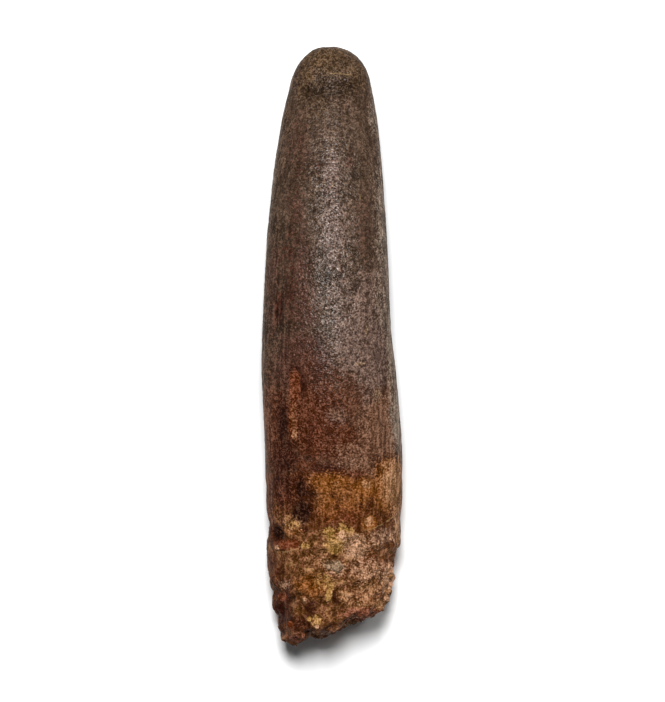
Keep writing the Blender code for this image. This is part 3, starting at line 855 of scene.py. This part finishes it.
def sand_grains_tree():
    """Nodes that scatter worn sand grains over a surface, each one sunk and turned at random."""
    tree = bpy.data.node_groups.new("sand_grains", "GeometryNodeTree")
    for name, kind in (
        ("Surface", "Geometry"), ("Spacing", "Float"), ("Width", "Float"), ("Depth", "Float"),
        ("Seed", "Int"), ("Material", "Material"),
    ):
        tree.interface.new_socket(name, in_out="INPUT", socket_type="NodeSocket" + kind)
    tree.interface.new_socket("Grains", in_out="OUTPUT", socket_type="NodeSocketGeometry")
    given = add_node(tree, "NodeGroupInput").outputs
    thickness = add_node(tree, "GeometryNodeInputNamedAttribute", {"Name": "cover"}, data_type="FLOAT")
    spots = add_node(
        tree,
        "GeometryNodeDistributePointsOnFaces",
        {
            "Mesh": given["Surface"],
            "Distance Min": given["Spacing"],
            "Density Max": MOST_GRAINS,
            "Density Factor": thickness.outputs["Attribute"],
            "Seed": given["Seed"],
        },
        distribute_method="POISSON",
    )
    way = add_node(tree, "ShaderNodeMath", {0: given["Depth"], 1: -1.0}, operation="MULTIPLY")
    inwards = add_node(
        tree, "ShaderNodeVectorMath", {0: spots.outputs["Normal"], "Scale": way.outputs[0]}, operation="SCALE"
    )
    sunk = add_node(
        tree, "GeometryNodeSetPosition", {"Geometry": spots.outputs["Points"], "Offset": inwards.outputs[0]}
    )
    kinds = add_node(tree, "GeometryNodeJoinGeometry")
    place = add_node(tree, "GeometryNodeInputPosition").outputs[0]
    for k in range(GRAIN_SHAPES):
        ball = add_node(tree, "GeometryNodeMeshUVSphere", {"Segments": 6, "Rings": 5, "Radius": 0.5})
        inputs = {0: place, 1: (SHAPE_STEP * k, 0, 0)}
        shifted = add_node(tree, "ShaderNodeVectorMath", inputs, operation="ADD").outputs[0]
        bumps = add_node(tree, "ShaderNodeTexNoise", {"Vector": shifted, "Scale": 1.3, "Detail": 1.0})
        inputs = {0: bumps.outputs["Color"], 1: (0.5, 0.5, 0.5)}
        centred = add_node(tree, "ShaderNodeVectorMath", inputs, operation="SUBTRACT").outputs[0]
        inputs = {"Geometry": ball.outputs["Mesh"], "Offset": centred}
        knobbly = add_node(tree, "GeometryNodeSetPosition", inputs)
        smooth = add_node(tree, "GeometryNodeSetShadeSmooth", {"Geometry": knobbly.outputs[0]})
        one = add_node(tree, "GeometryNodeGeometryToInstance", {"Geometry": smooth.outputs[0]})
        tree.links.new(one.outputs[0], kinds.inputs[0])

    # A grain's width, length and height, as shares of the usual width
    size = add_node(
        tree,
        "FunctionNodeRandomValue",
        {"Min": (0.6, 0.6, 0.5), "Max": (1.3, 1.2, 0.9), "Seed": given["Seed"]},
        data_type="FLOAT_VECTOR",
    )
    width = add_node(
        tree, "ShaderNodeVectorMath", {0: size.outputs[0], "Scale": given["Width"]}, operation="SCALE"
    )
    turn = add_node(
        tree, "FunctionNodeRandomValue", {"Max": (math.tau, math.tau, math.tau)}, data_type="FLOAT_VECTOR"
    )
    grains = add_node(
        tree,
        "GeometryNodeInstanceOnPoints",
        {
            "Points": sunk.outputs[0],
            "Instance": kinds.outputs[0],
            "Pick Instance": True,
            "Rotation": turn.outputs[0],
            "Scale": width.outputs[0],
        },
    )
    tint = add_node(
        tree, "FunctionNodeRandomValue", {2: -1.0, 3: 1.0, "Seed": given["Seed"]}, data_type="FLOAT"
    )
    tinted = add_node(
        tree,
        "GeometryNodeStoreNamedAttribute",
        {"Geometry": grains.outputs[0], "Name": "tint", "Value": tint.outputs[1]},
        data_type="FLOAT",
        domain="INSTANCE",
    )
    real = add_node(tree, "GeometryNodeRealizeInstances", {"Geometry": tinted.outputs[0]})
    finished = add_node(
        tree, "GeometryNodeSetMaterial", {"Geometry": real.outputs[0], "Material": given["Material"]}
    )
    add_node(tree, "NodeGroupOutput", {0: finished.outputs[0]})
    return tree


def node_inputs(modifier, **values):
    """Sets a Geometry Nodes modifier's inputs by their sockets' identifiers."""
    for item in modifier.node_group.interface.items_tree:
        if item.in_out == "INPUT" and item.name in values:
            modifier[item.identifier] = values[item.name]


class FOSSIL_OT_grains(bpy.types.Operator):
    """Scatters the sand grains that stand out of the crust and the cemented sandstone"""

    bl_idname = "fossil.grains"
    bl_label = "Sand Grains"

    def execute(self, context):
        grains = context.scene.fossil_grains
        skin = bpy.data.objects["tooth_skin"]
        piece = bpy.data.objects.new("sand_grains", skin.data.copy())
        context.scene.collection.objects.link(piece)
        modifier = piece.modifiers.new("scatter", "NODES")
        modifier.node_group = sand_grains_tree()
        node_inputs(
            modifier, Spacing=grains.spacing, Width=grains.width, Depth=grains.depth, Seed=grains.seed,
            Material=skin.data.materials[0],
        )
        mesh = plain_mesh(piece)
        piece.modifiers.clear()
        piece.data = mesh
        if not mesh.vertices:
            raise RuntimeError("The crust mask left no place for grains")
        set_places(mesh, point_values(mesh, "co"))
        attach(piece, "root")
        return {"FINISHED"}


class FOSSIL_OT_lone_grains(bpy.types.Operator):
    """Sets the few larger grains and nubs that stand out one by one into the sandstone"""

    bl_idname = "fossil.lone_grains"
    bl_label = "Lone Grains"

    def execute(self, context):
        lone = context.scene.fossil_lone
        skin = bpy.data.objects["tooth_skin"].data
        tree = kdtree.KDTree(len(skin.vertices))
        # Only what faces up or to the side carries a grain
        for vertex in skin.vertices:
            if vertex.normal.z > -0.1:
                tree.insert((vertex.co.x, vertex.co.y, 0), vertex.index)
        tree.balance()
        bm = bmesh.new()
        stains, tints = [], []
        for k, (x, y, half_width, half_length, turn, tint, stain) in enumerate(LONE_GRAINS):
            _, nearest, _ = tree.find((x * MM, y * MM, 0))
            half_height = LONE_FLATNESS * half_width
            centre = Vector((x, y, skin.vertices[nearest].co.z / MM - lone.sunk * half_height)) * MM
            place = Matrix.Translation(centre) @ Matrix.Rotation(math.radians(turn), 4, "Z")
            ball = bmesh.ops.create_icosphere(bm, subdivisions=3, radius=1)["verts"]
            for vertex in ball:
                swell = 1 + lone.roughness * noise.noise(vertex.co * 1.6 + Vector((k, 0, 0)))
                swell += lone.roughness / 2 * noise.noise(vertex.co * 4 + Vector((0, k, 0)))
                size = Vector((half_width, half_length, half_height)) * swell * MM
                vertex.co = place @ (vertex.co * size)
            stains += [stain] * len(ball)
            tints += [tint] * len(ball)
        mesh = bpy.data.meshes.new("lone_grains")
        bm.to_mesh(mesh)
        bm.free()
        mesh.shade_smooth()
        masks = {name: [float(stain == name) for stain in stains] for name in set(stains)}
        masks["tint"] = tints
        masks["pebbly"] = [LONE_PATTERN] * len(tints)
        dress(mesh, masks)
        mesh.materials.append(skin.materials[0])
        piece = bpy.data.objects.new("lone_grains", mesh)
        context.scene.collection.objects.link(piece)
        set_places(mesh, point_values(mesh, "co"))
        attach(piece, "root")
        return {"FINISHED"}


class FOSSIL_OT_stage(bpy.types.Operator):
    """Makes the plain floor, the lights and the camera that looks straight down"""

    bl_idname = "fossil.stage"
    bl_label = "Stage"

    def execute(self, context):
        stage = context.scene.fossil_stage
        mesh = bpy.data.meshes.new("floor")
        bm = bmesh.new()
        bmesh.ops.create_grid(bm, x_segments=1, y_segments=1, size=FLOOR_REACH)
        bm.to_mesh(mesh)
        bm.free()
        mesh.materials.append(board_material(stage.floor_colour))
        floor = bpy.data.objects.new("floor", mesh)
        context.scene.collection.objects.link(floor)
        floor.location.z = -FLOOR_DROP

        # Each leans this many degrees to the right and towards the tip, and is this wide and long in metres
        for name, power, lean_x, lean_y, width, length in (
            ("key_softbox", stage.key_power, -2, 19, 0.16, 0.2),
            ("side_softbox", stage.side_power, 32, 26, 0.14, 0.24),
        ):
            light = bpy.data.lights.new(name, "AREA")
            light.shape = "RECTANGLE"
            light.size, light.size_y = width, length
            light.energy = power
            lamp = bpy.data.objects.new(name, light)
            context.scene.collection.objects.link(lamp)
            way = Vector((math.tan(math.radians(lean_x)), math.tan(math.radians(lean_y)), 1)).normalized()
            lamp.location = way * LIGHT_DISTANCE
            lamp.rotation_euler = way.to_track_quat("Z", "Y").to_euler()

        world = bpy.data.worlds.new("soft_sky")
        world.use_nodes = True
        tree = world.node_tree
        tree.nodes.clear()
        light = {"Color": stage.sky_colour, "Strength": stage.sky_strength}
        sky = add_node(tree, "ShaderNodeBackground", light)
        add_node(tree, "ShaderNodeOutputWorld", {"Surface": sky.outputs[0]})
        context.scene.world = world

        camera = bpy.data.cameras.new("camera")
        camera.sensor_width = SENSOR_WIDTH
        camera.lens = SENSOR_WIDTH * stage.camera_distance / stage.view_height
        camera.clip_start = 0.01
        viewer = bpy.data.objects.new("camera", camera)
        context.scene.collection.objects.link(viewer)
        viewer.location = Vector(CAMERA_AIM) + Vector((0, 0, stage.camera_distance))
        context.scene.camera = viewer
        context.scene.view_settings.view_transform = "Standard"
        return {"FINISHED"}


class FOSSIL_PT_panel(bpy.types.Panel):
    """Lists the tooth's settings and the steps that make it"""

    bl_label = "Fossil Tooth"
    bl_idname = "FOSSIL_PT_panel"
    bl_space_type = "VIEW_3D"
    bl_region_type = "UI"
    bl_category = "Fossil"

    def draw(self, context):
        for group, (_, step) in GROUPS.items():
            settings = getattr(context.scene, group)
            column = self.layout.column()
            for name in settings.__annotations__:
                column.prop(settings, name)
            column.operator(step.bl_idname)


# Each group's settings, and the step that makes it
GROUPS = {
    "fossil_skin": (FossilSkinSettings, FOSSIL_OT_skin),
    "fossil_grains": (SandGrainSettings, FOSSIL_OT_grains),
    "fossil_lone": (LoneGrainSettings, FOSSIL_OT_lone_grains),
    "fossil_stage": (FossilStageSettings, FOSSIL_OT_stage),
}
CLASSES = (*(item for pair in GROUPS.values() for item in pair), FOSSIL_PT_panel)


def register():
    for item in CLASSES:
        bpy.utils.register_class(item)
    for name, (settings, _) in GROUPS.items():
        setattr(bpy.types.Scene, name, bpy.props.PointerProperty(type=settings))


def unregister():
    for name in GROUPS:
        delattr(bpy.types.Scene, name)
    for item in reversed(CLASSES):
        bpy.utils.unregister_class(item)


def main():
    register()
    bpy.ops.fossil.skin()
    bpy.ops.fossil.grains()
    bpy.ops.fossil.lone_grains()
    bpy.ops.fossil.stage()


if __name__ == "__main__":
    main()
